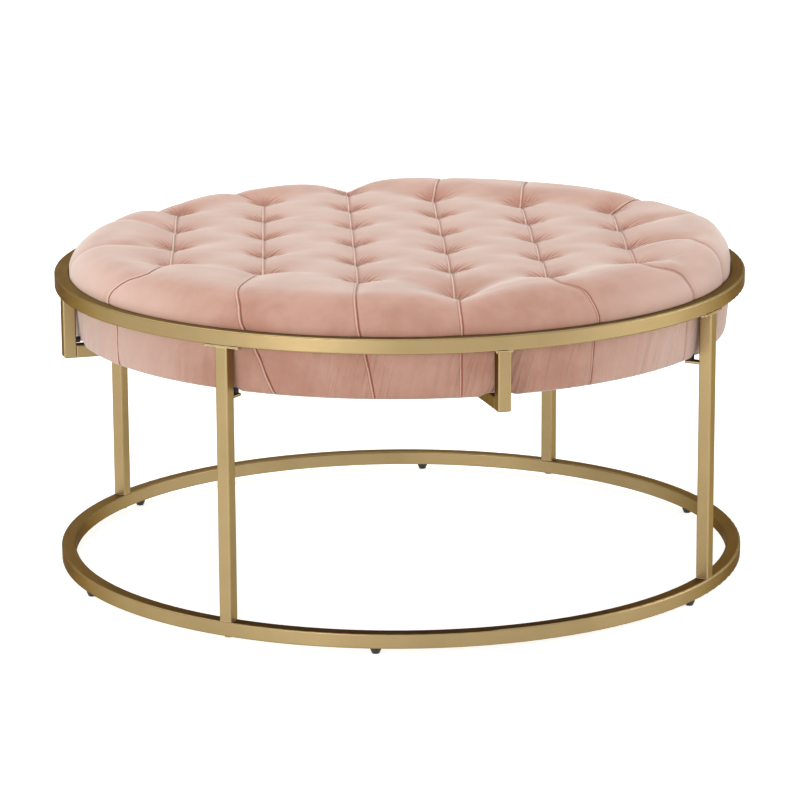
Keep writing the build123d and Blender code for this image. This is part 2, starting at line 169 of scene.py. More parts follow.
def noise(tree, place, scale, detail, **more):
    """Cloudy noise, mostly between 0.3 and 0.7."""
    return node(tree, "ShaderNodeTexNoise", Vector=place, Scale=scale, Detail=detail, **more).outputs[0]


def mixed(tree, share, first, second, **more):
    """A colour between two colours."""
    return node(tree, "ShaderNodeMix", data_type="RGBA", I0=share, I6=first, I7=second, **more).outputs[2]


def bump(tree, strength, distance, height, **more):
    """Fine relief."""
    return node(tree, "ShaderNodeBump", Strength=strength, Distance=distance, Height=height, **more).outputs[0]


def coat(tree, **sockets):
    """The shader of a finish."""
    body = node(tree, "ShaderNodeBsdfPrincipled", **sockets)
    node(tree, "ShaderNodeOutputMaterial", Surface=body.outputs[0])


def new_group(name, inputs, outputs):
    """A node group with named inputs, as a label and its usual value, and named outputs."""
    group = bpy.data.node_groups.new(name, "ShaderNodeTree")
    for label, usual in inputs:
        socket = group.interface.new_socket(label, in_out="INPUT", socket_type="NodeSocketFloat")
        socket.default_value = usual
    for label in outputs:
        group.interface.new_socket(label, in_out="OUTPUT", socket_type="NodeSocketFloat")
    return group, group.nodes.new("NodeGroupInput").outputs, group.nodes.new("NodeGroupOutput").inputs


def place_group(tree, group, **inputs):
    """Places a shared group in a material."""
    return node(tree, "ShaderNodeGroup", node_tree=group, **inputs).outputs


# An edge mask in spots, a painted highlight on the gold and scuffs on the black plastic: its width
# in metres, and how finely it breaks up.
edge_wear_and_highlight, given, result = new_group("edge_wear_and_highlight", [("Width", 0.0008), ("Break", 90.0)], ["Mask"])
rounded = node(edge_wear_and_highlight, "ShaderNodeBevel", samples=6, Radius=given["Width"])
surface = node(edge_wear_and_highlight, "ShaderNodeNewGeometry")
turn = node(edge_wear_and_highlight, "ShaderNodeVectorMath", operation="DOT_PRODUCT", I0=rounded.outputs[0],
            I1=surface.outputs["Normal"]).outputs["Value"]
edge = spread(edge_wear_and_highlight, turn, 0.995, 0.86)
spots = noise(edge_wear_and_highlight, object_place(edge_wear_and_highlight), given["Break"], 3.0)
broken_into_spots = spread(edge_wear_and_highlight, spots, 0.3, 0.7, 0.45)
edge_wear_and_highlight.links.new(maths(edge_wear_and_highlight, "MULTIPLY", edge, broken_into_spots), result["Mask"])

# Fine lines ground round the hoops and along the bars, and a faint clouding.
hoop_radius = 0.45
brushed, given, result = new_group("brushed_grain", [("Along", 30.0), ("Across", 900.0)], ["Height", "Cloud"])
where = object_place(brushed)
split = node(brushed, "ShaderNodeSeparateXYZ", Vector=where).outputs
level_place = node(brushed, "ShaderNodeCombineXYZ", X=split[0], Y=split[1]).outputs[0]
reach = node(brushed, "ShaderNodeVectorMath", operation="LENGTH", I0=level_place).outputs["Value"]
arc = maths(brushed, "MULTIPLY", maths(brushed, "ARCTAN2", split[1], split[0]), hoop_radius)
unrolled = node(brushed, "ShaderNodeCombineXYZ", X=maths(brushed, "MULTIPLY", arc, given["Along"]),
                Y=maths(brushed, "MULTIPLY", reach, given["Across"]),
                Z=maths(brushed, "MULTIPLY", split[2], given["Across"])).outputs[0]
brushed.links.new(noise(brushed, unrolled, 1.0, 4.0, Roughness=0.6), result["Height"])
brushed.links.new(noise(brushed, where, 14.0, 3.0), result["Cloud"])

gold_deep, gold_pale, gold_edge_highlight = srgb(147, 126, 88), srgb(166, 145, 104), srgb(250, 230, 188)
gold_glancing = (0.10, 0.06, 0.03, 1)
gold, tree = new_material("champagne_gold_coat")
# Painted highlight: along every edge the gold turns pale and less metallic, in spots.
rubbed_and_lit_edge = place_group(tree, edge_wear_and_highlight, Width=0.0014, Break=70.0)["Mask"]
grain = place_group(tree, brushed, Along=26.0, Across=800.0)
coat(tree, Base_Color=mixed(tree, rubbed_and_lit_edge, mixed(tree, grain["Cloud"], gold_deep, gold_pale), gold_edge_highlight),
     Metallic=spread(tree, rubbed_and_lit_edge, 0.0, 1.0, 1.0, 0.4),
     Roughness=spread(tree, grain["Height"], 0.3, 0.7, 0.34, 0.46),
     Normal=bump(tree, 0.3, 0.0004, grain["Height"]), Specular_Tint=gold_glancing)
legs = ("front_left", "front_right", "back_right", "back_left")
sides = ("front", "right", "back", "left")
gold_nodes = (["top_ring", "bottom_ring", "leg_bolts"]
              + ["cross_bar_long", "cross_bar_half_front", "cross_bar_half_back"]
              + [f"{kind}_{leg}" for kind in ("leg", "leg_plate", "seat_tab") for leg in legs]
              + [f"drop_bar_{side}" for side in sides])


def dress(names, material):
    """Gives CAD nodes their finish."""
    for name in names:
        mesh = nodes[name].data
        mesh.materials.clear()
        mesh.materials.append(material)


dress(gold_nodes, gold)


# Screws, nuts, washers, staples and tuft anchors: bright zinc plated steel, faintly blotched.
# They are driven home in their holes, most of them out of sight.
zinc, tree = new_material("bright_zinc")
bloom = noise(tree, object_place(tree), 400.0, 4.0)
coat(tree, Base_Color=mixed(tree, bloom, srgb(168, 168, 164), srgb(214, 214, 210)), Metallic=1.0,
     Roughness=spread(tree, bloom, 0.0, 1.0, 0.22, 0.4))
dress(["plate_screws", "ring_nuts", "leg_plugs", "tab_screws", "tee_nuts", "tuft_anchors", "staples",
       "cross_screws", "cross_washers"], zinc)


# Feet, spacers and bumpers: black nylon glides under the lower hoop, black collars and studs at the
# seat. Moulded with a fine spark texture, a little scuffed where they touch the floor.
def moulded_black(name, low, high, roughness, grain_size):
    """A black moulded plastic or rubber with fine texture and scuffs."""
    material, tree = new_material(name)
    spark = noise(tree, object_place(tree), grain_size, 2.0)
    scuff = noise(tree, object_place(tree), 260.0, 5.0)
    rubbed_and_lit_edge = place_group(tree, edge_wear_and_highlight, Width=0.0006, Break=300.0)["Mask"]
    scuffed = maths(tree, "MULTIPLY_ADD", rubbed_and_lit_edge, 0.5, spread(tree, scuff, 0.55, 0.8, 0.0, 0.6))
    coat(tree, Base_Color=mixed(tree, scuffed, low, high),
         Roughness=spread(tree, scuff, 0.0, 1.0, roughness - 0.08, roughness + 0.12),
         Normal=bump(tree, 0.25, 0.0002, spark))
    return material


black_nylon = moulded_black("black_nylon", srgb(24, 23, 22), srgb(66, 64, 62), 0.4, 1800.0)
black_rubber = moulded_black("black_rubber", srgb(17, 16, 16), srgb(48, 46, 45), 0.55, 1200.0)
dress([f"foot_{i}" for i in range(1, 7)], black_nylon)
dress(["tab_spacers", "bar_bumpers"], black_rubber)


# Board: a raw plywood disc, seen only from below past the cloth. The grain runs along X, and the
# plies show on its edge.
wood, tree = new_material("raw_plywood")
along = node(tree, "ShaderNodeMapping", Vector=object_place(tree), Scale=(2.0, 40.0, 120.0)).outputs[0]
figure = noise(tree, along, 3.0, 6.0, Distortion=0.4)
plies = node(tree, "ShaderNodeTexWave", bands_direction="Z", Vector=object_place(tree), Scale=110.0).outputs[0]
shade = mixed(tree, figure, srgb(168, 128, 84), srgb(214, 178, 130))
coat(tree, Base_Color=mixed(tree, 0.2, shade, plies, blend_type="MULTIPLY"), Roughness=0.7,
     Normal=bump(tree, 0.3, 0.0006, figure))
dress(["seat_board"], wood)


# Twines: waxed cotton, one from each tuft down to its anchor under the board. They are twisted, so
# light and dark run round them aslant.
waxed, tree = new_material("waxed_twine")
strands = node(tree, "ShaderNodeTexWave", bands_direction="DIAGONAL", Vector=object_place(tree),
               Scale=350.0).outputs[1]
coat(tree, Base_Color=mixed(tree, strands, srgb(188, 176, 150), srgb(232, 224, 204)), Roughness=0.6,
     Normal=bump(tree, 0.6, 0.0004, strands))
dress(["tuft_twine"], waxed)


# Seat: blush velvet over wadding and foam. The cover is seven strips sewn together along six
# seams. A twine pulls it down at every tuft, the spare cloth lies in folds from tuft to tuft, and
# pleats run from the outer tufts over the rim to the hem, which is stapled under the board.
hem_level, crown_level = 0.3206, 0.4436
shoulder_level, base_round = 0.4020, 0.0060
side_radius, base_radius, flat_radius = 0.4374, 0.4330, 0.3880
cloth_grid = 0.005
column_step, tuft_step = 0.11933, 0.12354
field_turn = math.radians(-14.2)
tufts_in_column = (4, 5, 6, 6, 5, 4)
back_shift = 0.0279
deep_tuft = 15

tufts, column_of, place_in_column = [], [], []
for column, count in enumerate(tufts_in_column):
    across = (column - (len(tufts_in_column) - 1) / 2) * column_step
    middle = back_shift + (tuft_step / 4 if column < len(tufts_in_column) / 2 else -tuft_step / 4)
    for step in range(count):
        along = middle + (step - (count - 1) / 2) * tuft_step
        tufts.append((across * math.cos(field_turn) - along * math.sin(field_turn),
                      across * math.sin(field_turn) + along * math.cos(field_turn)))
        column_of.append(column)
        place_in_column.append(along)
tufts = np.array(tufts)

# The rim's quarter ellipse, measured along the cloth, so that the top and the side unroll flat.
rim_wide, rim_high = side_radius - flat_radius, crown_level - shoulder_level
turns = np.linspace(math.pi / 2, 0, 200)
steps_along = np.hypot(np.diff(rim_wide * np.cos(turns)), np.diff(rim_high * np.sin(turns)))
rim_length = np.concatenate([[0], np.cumsum(steps_along)])
side_start = flat_radius + rim_length[-1]


def unroll(points):
    """For points on the plain seat: their place on the flat cloth, their outward normal, and 1 where
    they are on the top or the side but not on the hem."""
    reach = np.hypot(points[:, 0], points[:, 1])
    level = points[:, 2]
    turn = np.arctan2((level - shoulder_level) / rim_high, (reach - flat_radius) / rim_wide)
    turn = np.clip(turn, 0, math.pi / 2)
    on_top = (reach <= flat_radius) & (level > shoulder_level)
    on_rim = (reach > flat_radius) & (level > shoulder_level)
    along = np.where(on_top, reach, np.where(on_rim, flat_radius + np.interp(-turn, -turns, rim_length),
                                             side_start + shoulder_level - level))
    out = np.where(on_top, 0, np.where(on_rim, np.cos(turn) / rim_wide, 1))
    up = np.where(on_top, 1, np.where(on_rim, np.sin(turn) / rim_high, 0))
    size = np.hypot(out, up)
    ray = points[:, :2] / np.maximum(reach, 1e-6)[:, None]
    normal = np.column_stack([ray * (out / size)[:, None], up / size])
    shown = np.clip((level - hem_level) / base_round, 0, 1)
    return ray * along[:, None], normal, shown


# Folds on the flat cloth. Each pulls the cloth in most at its tufts and less between them. Seams
# run along the columns, and softer folds run across to the tufts of the next column, with a longer
# valley on one side. A fold is the points it runs through, its most and its least pull, how far
# apart its tufts are, its width at a tuft and away from it, and how far its valley reaches.
field_drop, tuft_pull, deeper, seam_pull, fold_pull, pleat_pull = 0.0090, 0.0095, 0.0090, 0.0050, 0.0006, 0.0018
at_tuft = 0.9 * tuft_pull
next_tuft = 1.15 * tuft_step
folds, seam_runs = [], []
for a in range(len(tufts)):
    for b in range(a + 1, len(tufts)):
        apart = math.dist(tufts[a], tufts[b])
        if apart > next_tuft:
            continue
        if column_of[a] == column_of[b]:
            folds.append(((tufts[a], tufts[b]), at_tuft, seam_pull, apart, 0.018, 0.024, 0.060))
            seam_runs.append((tufts[a], tufts[b]))
        else:
            valley = 0.050 if place_in_column[a] > place_in_column[b] else 0.036
            folds.append(((tufts[a], tufts[b]), at_tuft, fold_pull, apart, 0.013, 0.022, valley))


def on_cloth(reach, bearing):
    """A point on the flat cloth from its distance in millimetres and its bearing in degrees."""
    turn = math.radians(bearing)
    return reach / 1000 * math.cos(turn), reach / 1000 * math.sin(turn)


def rounded_route(points):
    """A smooth curve through points on the cloth, in short straight runs."""
    points = np.array(points)
    ends = np.vstack([2 * points[0] - points[1], points, 2 * points[-1] - points[-2]])
    route = []
    for before, start, end, after in zip(ends, ends[1:], ends[2:], ends[3:]):
        length = math.dist(start, end)
        lean_in = (end - before) / max(math.dist(end, before), 1e-9) * length
        lean_out = (after - start) / max(math.dist(after, start), 1e-9) * length
        for t in np.arange(0, 1, 0.2 if length > 0.03 else 0.5):
            route.append((2 * t ** 3 - 3 * t ** 2 + 1) * start + (t ** 3 - 2 * t ** 2 + t) * lean_in
                         + (3 * t ** 2 - 2 * t ** 3) * end + (t ** 3 - t ** 2) * lean_out)
    return np.array(route + [points[-1]])


# Outer pleats, each from its tuft: is it a sewn seam, the points it runs through down to the hem,
# and, where it is more than a crease, its pull and width at the rim and its valley's reach.
outer_pleats = {
    0: (True, [(399, -158.8), (423, -161.0), (443, -162.5), (466, -162.5), (500, -161.9), (542, -161.7)]),
    1: (False, [(340, 172.0), (380, 171.5), (416, 171.1), (542, 170.0)]),
    2: (False, [(360, 144.0), (400, 144.0), (542, 144.0)]),
    3: (True, [(402, 128.2), (425, 128.5), (542, 128.5)], 0.006, 0.018),
    4: (True, [(400, -136.0), (432, -133.5), (468, -131.2), (509, -128.9), (542, -126.7)]),
    8: (True, [(400, 108.4), (425, 108.8), (542, 108.8)], 0.006, 0.018),
    9: (True, [(409, -113.7), (468, -112.2), (542, -110.2)]),
    14: (True, [(400, 84.6), (542, 84.0)], 0.017, 0.034),
    15: (True, [(429, -96.0), (542, -96.2)], 0.0018, 0.026, 0.165),
    20: (True, [(400, 65.2), (542, 65.0)], 0.0018, 0.010, 0.045),
    21: (True, [(390, -76.0), (421, -73.0), (468, -72.5), (542, -73.2)]),
    25: (True, [(400, 46.5), (542, 47.5)], 0.0010, 0.008, 0.040),
    26: (True, [(393, -54.2), (429, -49.2), (466, -48.7), (542, -49.7)]),
    27: (True, [(350, -27.0), (385, -28.0), (406, -31.2), (443, -32.7), (499, -34.2), (542, -36.7)]),
    28: (False, [(345, -5.0), (380, -3.8), (440, -2.0), (542, -1.0)]),
    29: (True, [(400, 18.6), (542, 19.5)], 0.004, 0.02)}
back_tufts = (3, 8, 14, 20, 25, 29)
no_second_tuft = 9.0
for index, (sewn, places, *rim_fold) in outer_pleats.items():
    route = rounded_route([tufts[index]] + [on_cloth(*place) for place in places])
    rim_pull, rim_width, *valley_given = rim_fold or (pleat_pull, 0.010)
    to_rim = max(0.06, flat_radius + 0.025 - math.hypot(*tufts[index]))
    valley = valley_given[0] if valley_given else to_rim
    most, near_width = (0.022, 0.040) if index == deep_tuft else (at_tuft, 0.032)
    folds.append((route, most, rim_pull, no_second_tuft, near_width, rim_width, valley))
    if sewn:   # turned so that the raised band is on the same side all along its column
        seam_runs.append(route if index in back_tufts else route[::-1])

# The tufted field's outer edges: the lines through two tufts with every other tuft on one side.
field_edges = []
for a in tufts:
    for b in tufts:
        way = b - a
        beyond = way[0] * (tufts - a)[:, 1] - way[1] * (tufts - a)[:, 0]
        if math.hypot(*way) > 0.01 and (beyond > -1e-6).all():
            field_edges.append((a, np.array([way[1], -way[0]]) / math.hypot(*way)))


def run_distance(places, route):
    """How far points on the cloth are from a route, how far along it, and on which side of it."""
    near, walked, which = np.full(len(places), 9.0), np.zeros(len(places)), np.ones(len(places))
    gone = 0.0
    for start, end in zip(route, route[1:]):
        way = end - start
        length = math.hypot(*way)
        along = np.clip((places - start) @ way / length, 0, length)
        off = places - start - along[:, None] * way / length
        away = np.hypot(off[:, 0], off[:, 1])
        closer = away < near
        near = np.where(closer, away, near)
        walked = np.where(closer, gone + along, walked)
        which = np.where(closer, np.sign(way[0] * off[:, 1] - way[1] * off[:, 0]), which)
        gone += length
    return near, walked, which


def seam_distance(cloth):
    """How far each point of the cloth is from the nearest seam, and on which side of it."""
    near, which = np.full(len(cloth), 1.0), np.ones(len(cloth))
    for run in seam_runs:
        away, _, side = run_distance(cloth, run)
        which = np.where(away < near, side, which)
        near = np.minimum(near, away)
    return near, which


def nearest_tuft(cloth):
    """For each point of the cloth: how far the nearest tuft is, the way from it, and its number."""
    to_tuft = cloth[:, None, :] - tufts[None, :, :]
    tuft_away = np.hypot(to_tuft[:, :, 0], to_tuft[:, :, 1])
    rows = np.arange(len(cloth))
    nearest = np.argmin(tuft_away, axis=1)
    reach = tuft_away[rows, nearest]
    return reach, to_tuft[rows, nearest] / np.maximum(reach, 1e-6)[:, None], nearest


def smooth(value, low, high):
    """0 below low, 1 above high and an even rise between them."""
    part = np.clip((value - low) / (high - low), 0, 1)
    return part * part * (3 - 2 * part)


# How folds and tufts fall off and run into each other, and where the rim starts and ends.
fold_fall, tuft_fall, tuft_width, blend = 1.25, 1.1, 0.024, 4
rim_start, rim_end = 0.405, 0.475
field_slope = (-0.010, 0.062)


def pull_in(cloth):
    """How far tufts and folds pull each point of the cloth into the seat."""
    total = np.zeros(len(cloth))
    on_rim = 1 - smooth(np.hypot(cloth[:, 0], cloth[:, 1]), rim_start, rim_end)
    for route, most, least, apart, near_width, far_width, valley in folds:
        away, walked, _ = run_distance(cloth, route)
        fade = 1 - smooth(np.minimum(walked, apart - walked), 0, valley)
        width = far_width + (near_width - far_width) * fade
        least = pleat_pull + (least - pleat_pull) * on_rim
        total += ((least + (most - least) * fade) * np.exp(-(away / width) ** fold_fall)) ** blend
    reach, _, nearest = nearest_tuft(cloth)
    depth = tuft_pull + np.where(nearest == deep_tuft, deeper, 0.0)
    total += (depth * np.exp(-(reach / tuft_width) ** tuft_fall)) ** blend
    outside = np.max([(cloth - corner) @ normal for corner, normal in field_edges], axis=0)
    return total ** (1 / blend) + field_drop * (1 - smooth(outside, *field_slope))


right_way = (math.cos(view_turn), -math.sin(view_turn))
right_slope, right_swell = 0.012, 0.008
firm_level, firm_reach, least_give = 0.338, 0.03, 0.15


def shape_seat(plain):
    """Where the plain seat's points go when the cloth is pulled in. It gives less low on the side,
    and the seat is a little fuller towards its right end."""
    cloth, normals, shown = unroll(plain)
    give = np.clip((plain[:, 2] - firm_level) / firm_reach, least_give, 1)
    carved = plain - normals * (pull_in(cloth) * shown * give)[:, None]
    sideways = plain[:, 0] * right_way[0] + plain[:, 1] * right_way[1]
    above = plain[:, 2] - shoulder_level
    carved[:, 2] += right_slope * sideways * np.clip(above / rim_high, 0, 1)
    carved[:, 2] += right_swell * smooth(sideways, 0.37, 0.425) * smooth(above, 0.0, 0.014)
    return carved


# The plain seat: its half section is spun round and meshed evenly.
outline = [(0, hem_level), (base_radius - base_round, hem_level),
           (base_radius - 0.3 * base_round, hem_level + 0.3 * base_round),
           (base_radius, hem_level + base_round)]
outline += [(flat_radius + rim_wide * math.cos(t), shoulder_level + rim_high * math.sin(t))
            for t in np.linspace(0, math.pi / 2, 12)]
outline += [(0, crown_level)]
shape = bmesh.new()
corners = [shape.verts.new((reach, 0, level)) for reach, level in outline]
lines = [shape.edges.new(pair) for pair in zip(corners, corners[1:])]
bmesh.ops.spin(shape, geom=corners + lines, cent=(0, 0, 0), axis=(0, 0, 1), angle=2 * math.pi, steps=180,
               use_merge=True)
bmesh.ops.remove_doubles(shape, verts=shape.verts, dist=0.0001)
bmesh.ops.recalc_face_normals(shape, faces=shape.faces)
seat = put_in_scene("tufted_seat", made_mesh("tufted_seat", shape))


def keep_modifiers(piece):
    """Applies a piece's modifiers to its mesh."""
    scene_graph = bpy.context.evaluated_depsgraph_get()
    made = bpy.data.meshes.new_from_object(piece.evaluated_get(scene_graph))
    piece.modifiers.clear()
    piece.data = made


def corners_of(mesh):
    """A mesh's vertices as an array."""
    places = np.empty(len(mesh.vertices) * 3)
    mesh.vertices.foreach_get("co", places)
    return places.reshape(-1, 3)


def move_corners(mesh, places):
    """Puts a mesh's vertices at new places."""
    mesh.vertices.foreach_set("co", places.ravel())
    mesh.update()


def keep_values(mesh, label, values):
    """Stores one value or one vector for each vertex."""
    kind = "FLOAT" if values.ndim == 1 else "FLOAT_VECTOR"
    layer = mesh.attributes.get(label) or mesh.attributes.new(label, kind, "POINT")
    layer.data.foreach_set("value" if values.ndim == 1 else "vector", values.astype(np.float32).ravel())


def even_out(mesh, values, rounds):
    """Vectors of the vertices, averaged with their neighbours'."""
    ends = np.empty(len(mesh.edges) * 2, int)
    mesh.edges.foreach_get("vertices", ends)
    one, other = ends.reshape(-1, 2).T
    count = np.bincount(ends, minlength=len(values))
    for _ in range(rounds):
        near = [np.bincount(one, values[other, axis], len(values))
                + np.bincount(other, values[one, axis], len(values)) for axis in range(3)]
        values = 0.5 * values + 0.5 * np.column_stack(near) / count[:, None]
    return values


even = seat.modifiers.new("even", "REMESH")
even.mode = "VOXEL"
even.voxel_size = cloth_grid
keep_modifiers(seat)

# The cloth is pulled in and held at the tufts, along the seams and at the hem, and the stuffing
# swells it. A part of what the swelling moves is evened out and added to the finer mesh below.
swelling_kept, swelling_most, even_rounds = 0.28, 0.008, 14
plain = corners_of(seat.data)
start = shape_seat(plain)
moved = np.zeros_like(plain)
cloth = unroll(plain)[0]
weight = np.where(nearest_tuft(cloth)[0] < 0.006, 1.0, np.where(seam_distance(cloth)[0] < 0.004, 0.3, 0.0))
weight = np.maximum(weight, 1 - np.clip((plain[:, 2] - hem_level - 0.004) / 0.012, 0, 1))
weight = np.round(weight, 1)
held = seat.vertex_groups.new(name="held")
for level in np.unique(weight[weight > 0]):
    held.add([int(i) for i in np.flatnonzero(weight == level)], float(level), "REPLACE")
move_corners(seat.data, start)
fill = seat.modifiers.new("fill", "CLOTH")
for setting, value in (("quality", 4), ("mass", 0.3), ("tension_stiffness", 20), ("compression_stiffness", 10),
                       ("shear_stiffness", 6), ("bending_stiffness", 0.8), ("use_pressure", True),
                       ("uniform_pressure_force", 2.5), ("shrink_min", -0.02), ("vertex_group_mass", "held")):
    setattr(fill.settings, setting, value)
fill.settings.effector_weights.gravity = 0
fill.collision_settings.use_collision = False
for moment in range(1, 14):
    bpy.context.scene.frame_set(moment)
swollen = corners_of(seat.evaluated_get(bpy.context.evaluated_depsgraph_get()).data)
seat.modifiers.clear()
moved = swollen - start
far = np.maximum(np.linalg.norm(moved, axis=1), 1e-9)
moved = even_out(seat.data, swelling_kept * moved * np.minimum(1, swelling_most / far)[:, None], even_rounds)
move_corners(seat.data, plain)
keep_values(seat.data, "moved", moved)

# The finer mesh: one subdivision over all of it and one more round each tuft and along the seams.
# The board covers the underside's middle, so its faces there become one.
finer = seat.modifiers.new("finer", "SUBSURF")
finer.levels = finer.render_levels = 1
keep_modifiers(seat)
shape = bmesh.new()
shape.from_mesh(seat.data)
far_in = []
for face in shape.faces:
    middle = face.calc_center_median()
    if middle.z < hem_level + 0.001 and middle.xy.length < 0.382:
        far_in.append(face)
bmesh.ops.delete(shape, geom=far_in, context="FACES")
bmesh.ops.holes_fill(shape, edges=[edge for edge in shape.edges if edge.is_boundary], sides=0)
shape.verts.ensure_lookup_table()
cloth = unroll(np.array([corner.co for corner in shape.verts]))[0]
near = (nearest_tuft(cloth)[0] < 0.032) | (seam_distance(cloth)[0] < 0.0065)
bmesh.ops.subdivide_edges(shape, edges=[edge for edge in shape.edges
                                        if near[edge.verts[0].index] and near[edge.verts[1].index]],
                          cuts=1, use_grid_fill=True)
bmesh.ops.recalc_face_normals(shape, faces=shape.faces)
shape.to_mesh(seat.data)
shape.free()
plain = corners_of(seat.data)
moved = np.empty(len(plain) * 3)
seat.data.attributes["moved"].data.foreach_get("vector", moved)
placed = shape_seat(plain) + moved.reshape(-1, 3)

# The side stays inside the upper hoop, and in front the cloth swells a little over the hoop.
hoop_swell = 0.0070
out = np.maximum(np.hypot(placed[:, 0], placed[:, 1]), 1e-6)
placed[:, :2] *= np.minimum(1, (side_radius + 0.0001) / out)[:, None]
towards_front = (placed[:, 0] * front_way[0] + placed[:, 1] * front_way[1]) / out
over_hoop = (smooth(towards_front, 0.1, 0.7) * smooth(placed[:, 2], 0.3925, 0.4005)
             * (1 - smooth(placed[:, 2], 0.404, 0.427)) * smooth(out, 0.40, 0.43))
placed[:, :2] *= (1 + hoop_swell * over_hoop / out)[:, None]

# Small shapes on the finer mesh: the raised band beside each seam, the short pleats that fan out
# from each tuft, and the gathers on the side above the hem, in patches and beside the seams.
band_high, groove_deep, fan_deep, gather_deep = 0.0008, 0.0007, 0.0012, 0.0022
fan_pleats, gather_count, gather_slant = 21, 132, 55
cloth, normals, shown = unroll(plain)
reach, way, nearest = nearest_tuft(cloth)
seam_away, seam_side = seam_distance(cloth)
band = smooth(seam_away * seam_side, 0.0003, 0.0020) * (1 - smooth(seam_away, 0.0030, 0.0055))
groove = np.exp(-(seam_away / 0.0020) ** 2)
bearing = np.arctan2(way[:, 1], way[:, 0])
fan = 0.5 - 0.5 * np.sin(bearing * fan_pleats + 3 * np.sin(bearing * 3 + nearest * 1.7) + nearest * 2.1)
fan *= smooth(reach, 0.003, 0.010) * (1 - smooth(reach, 0.014, 0.038))
round_seat, from_middle = np.arctan2(cloth[:, 1], cloth[:, 0]), np.hypot(cloth[:, 0], cloth[:, 1])
uneven = 5 * np.sin(round_seat * 7) + 3 * np.sin(round_seat * 23 + 1)
slanted = round_seat * gather_count + uneven + from_middle * gather_slant
gather = (0.5 - 0.5 * np.sin(slanted)) * (0.65 + 0.35 * np.sin(round_seat * 47 + 2))
in_patches = smooth(np.sin(round_seat * 5 + 1) + np.sin(round_seat * 11 + 2.3), -1.2, 0.6)
in_patches *= smooth(from_middle, 0.455, 0.505)
by_seams = 0.5 * (1 - smooth(seam_away, 0.008, 0.030)) * smooth(from_middle, 0.43, 0.49)
gather *= np.maximum(in_patches, by_seams)
small = band_high * band - groove_deep * groove - fan_deep * fan - gather_deep * gather
placed += normals * (small * shown)[:, None]

# The padded edge hangs a little under the board, but not where the cross bars and the tabs are.
edge_hang, tab_radius = 0.0042, 0.424
off_bars = smooth(np.minimum(np.abs(plain[:, 0]), np.abs(plain[:, 1])), 0.011, 0.026)
tab_places = tab_radius * np.array([[1, 1], [1, -1], [-1, 1], [-1, -1]]) / math.sqrt(2)
tab_away = np.hypot(plain[:, None, 0] - tab_places[:, 0], plain[:, None, 1] - tab_places[:, 1])
off_tabs = smooth(np.min(tab_away, axis=1), 0.007, 0.014)
edge = smooth(np.hypot(plain[:, 0], plain[:, 1]), 0.395, 0.418) * (1 - smooth(plain[:, 2], 0.328, 0.352))
placed[:, 2] -= edge_hang * edge * off_bars * off_tabs
move_corners(seat.data, placed)
keep_values(seat.data, "seam_away", seam_away)
keep_values(seat.data, "seam_side", seam_side)
keep_values(seat.data, "tuft_reach", reach)
keep_values(seat.data, "tuft_way", np.column_stack([way, nearest * 1.0]))
keep_values(seat.data, "cloth_place", np.column_stack([cloth, np.zeros(len(cloth))]))
for face in seat.data.polygons:
    face.use_smooth = True


# The velvet's colour carries painted light: a painted sheen makes it paler at both ends, painted
# highlights lie on the seams' raised bands, and painted shade darkens the tufts, the creases between
# their pleats and the seams.
def ramp(tree, value, low, high, start=0.0, end=1.0):
    """A smooth change from start to end while a value goes from low to high."""
    return node(tree, "ShaderNodeMapRange", interpolation_type="SMOOTHSTEP", Value=value, From_Min=low,
                From_Max=high, To_Min=start, To_Max=end).outputs[0]


def kept_value(tree, label, output="Fac"):
    """What keep_values stored on the mesh."""
    return node(tree, "ShaderNodeAttribute", attribute_name=label).outputs[output]


nap_deep, nap_pale, end_sheen_colour = srgb(186, 137, 118), srgb(201, 156, 139), srgb(226, 194, 180)
tuft_shade, band_highlight_colour, seam_shade_colour = srgb(184, 84, 46), srgb(252, 212, 190), srgb(152, 62, 34)
pile_shine = (0.94, 0.895, 0.83, 1)
velvet, tree = new_material("blush_velvet")
where = object_place(tree)
seam_away, seam_side = kept_value(tree, "seam_away"), kept_value(tree, "seam_side")
tuft_reach = kept_value(tree, "tuft_reach")
tuft_way = node(tree, "ShaderNodeSeparateXYZ", Vector=kept_value(tree, "tuft_way", "Vector")).outputs
cloth_place = kept_value(tree, "cloth_place", "Vector")
cloth_xy = node(tree, "ShaderNodeSeparateXYZ", Vector=cloth_place).outputs
from_middle = node(tree, "ShaderNodeVectorMath", operation="LENGTH", I0=cloth_place).outputs["Value"]

left_of_seam = maths(tree, "MULTIPLY", seam_away, seam_side)
groove = ramp(tree, seam_away, 0.0004, 0.0019, 1.0, 0.0)
band = maths(tree, "MULTIPLY", ramp(tree, left_of_seam, 0.0004, 0.0014),
             ramp(tree, seam_away, 0.0026, 0.0038, 1.0, 0.0))
# A thin line of painted shade along each raised band's outer edge.
band_edge_shade = maths(tree, "MULTIPLY", ramp(tree, left_of_seam, 0.0030, 0.0042),
                 ramp(tree, seam_away, 0.0042, 0.0056, 1.0, 0.0))
bearing = maths(tree, "ARCTAN2", tuft_way[1], tuft_way[0])
wander = noise(tree, where, 60.0, 2.0, noise_dimensions="4D", W=tuft_way[2])
fan = maths(tree, "SINE", maths(tree, "ADD", maths(tree, "MULTIPLY", bearing, fan_pleats),
                                maths(tree, "MULTIPLY", wander, 9.0)))
round_tuft = maths(tree, "MULTIPLY", ramp(tree, tuft_reach, 0.002, 0.008),
                   ramp(tree, tuft_reach, 0.012, 0.036, 1.0, 0.0))
fan = maths(tree, "MULTIPLY", maths(tree, "MULTIPLY_ADD", fan, 0.5, 0.5), round_tuft)

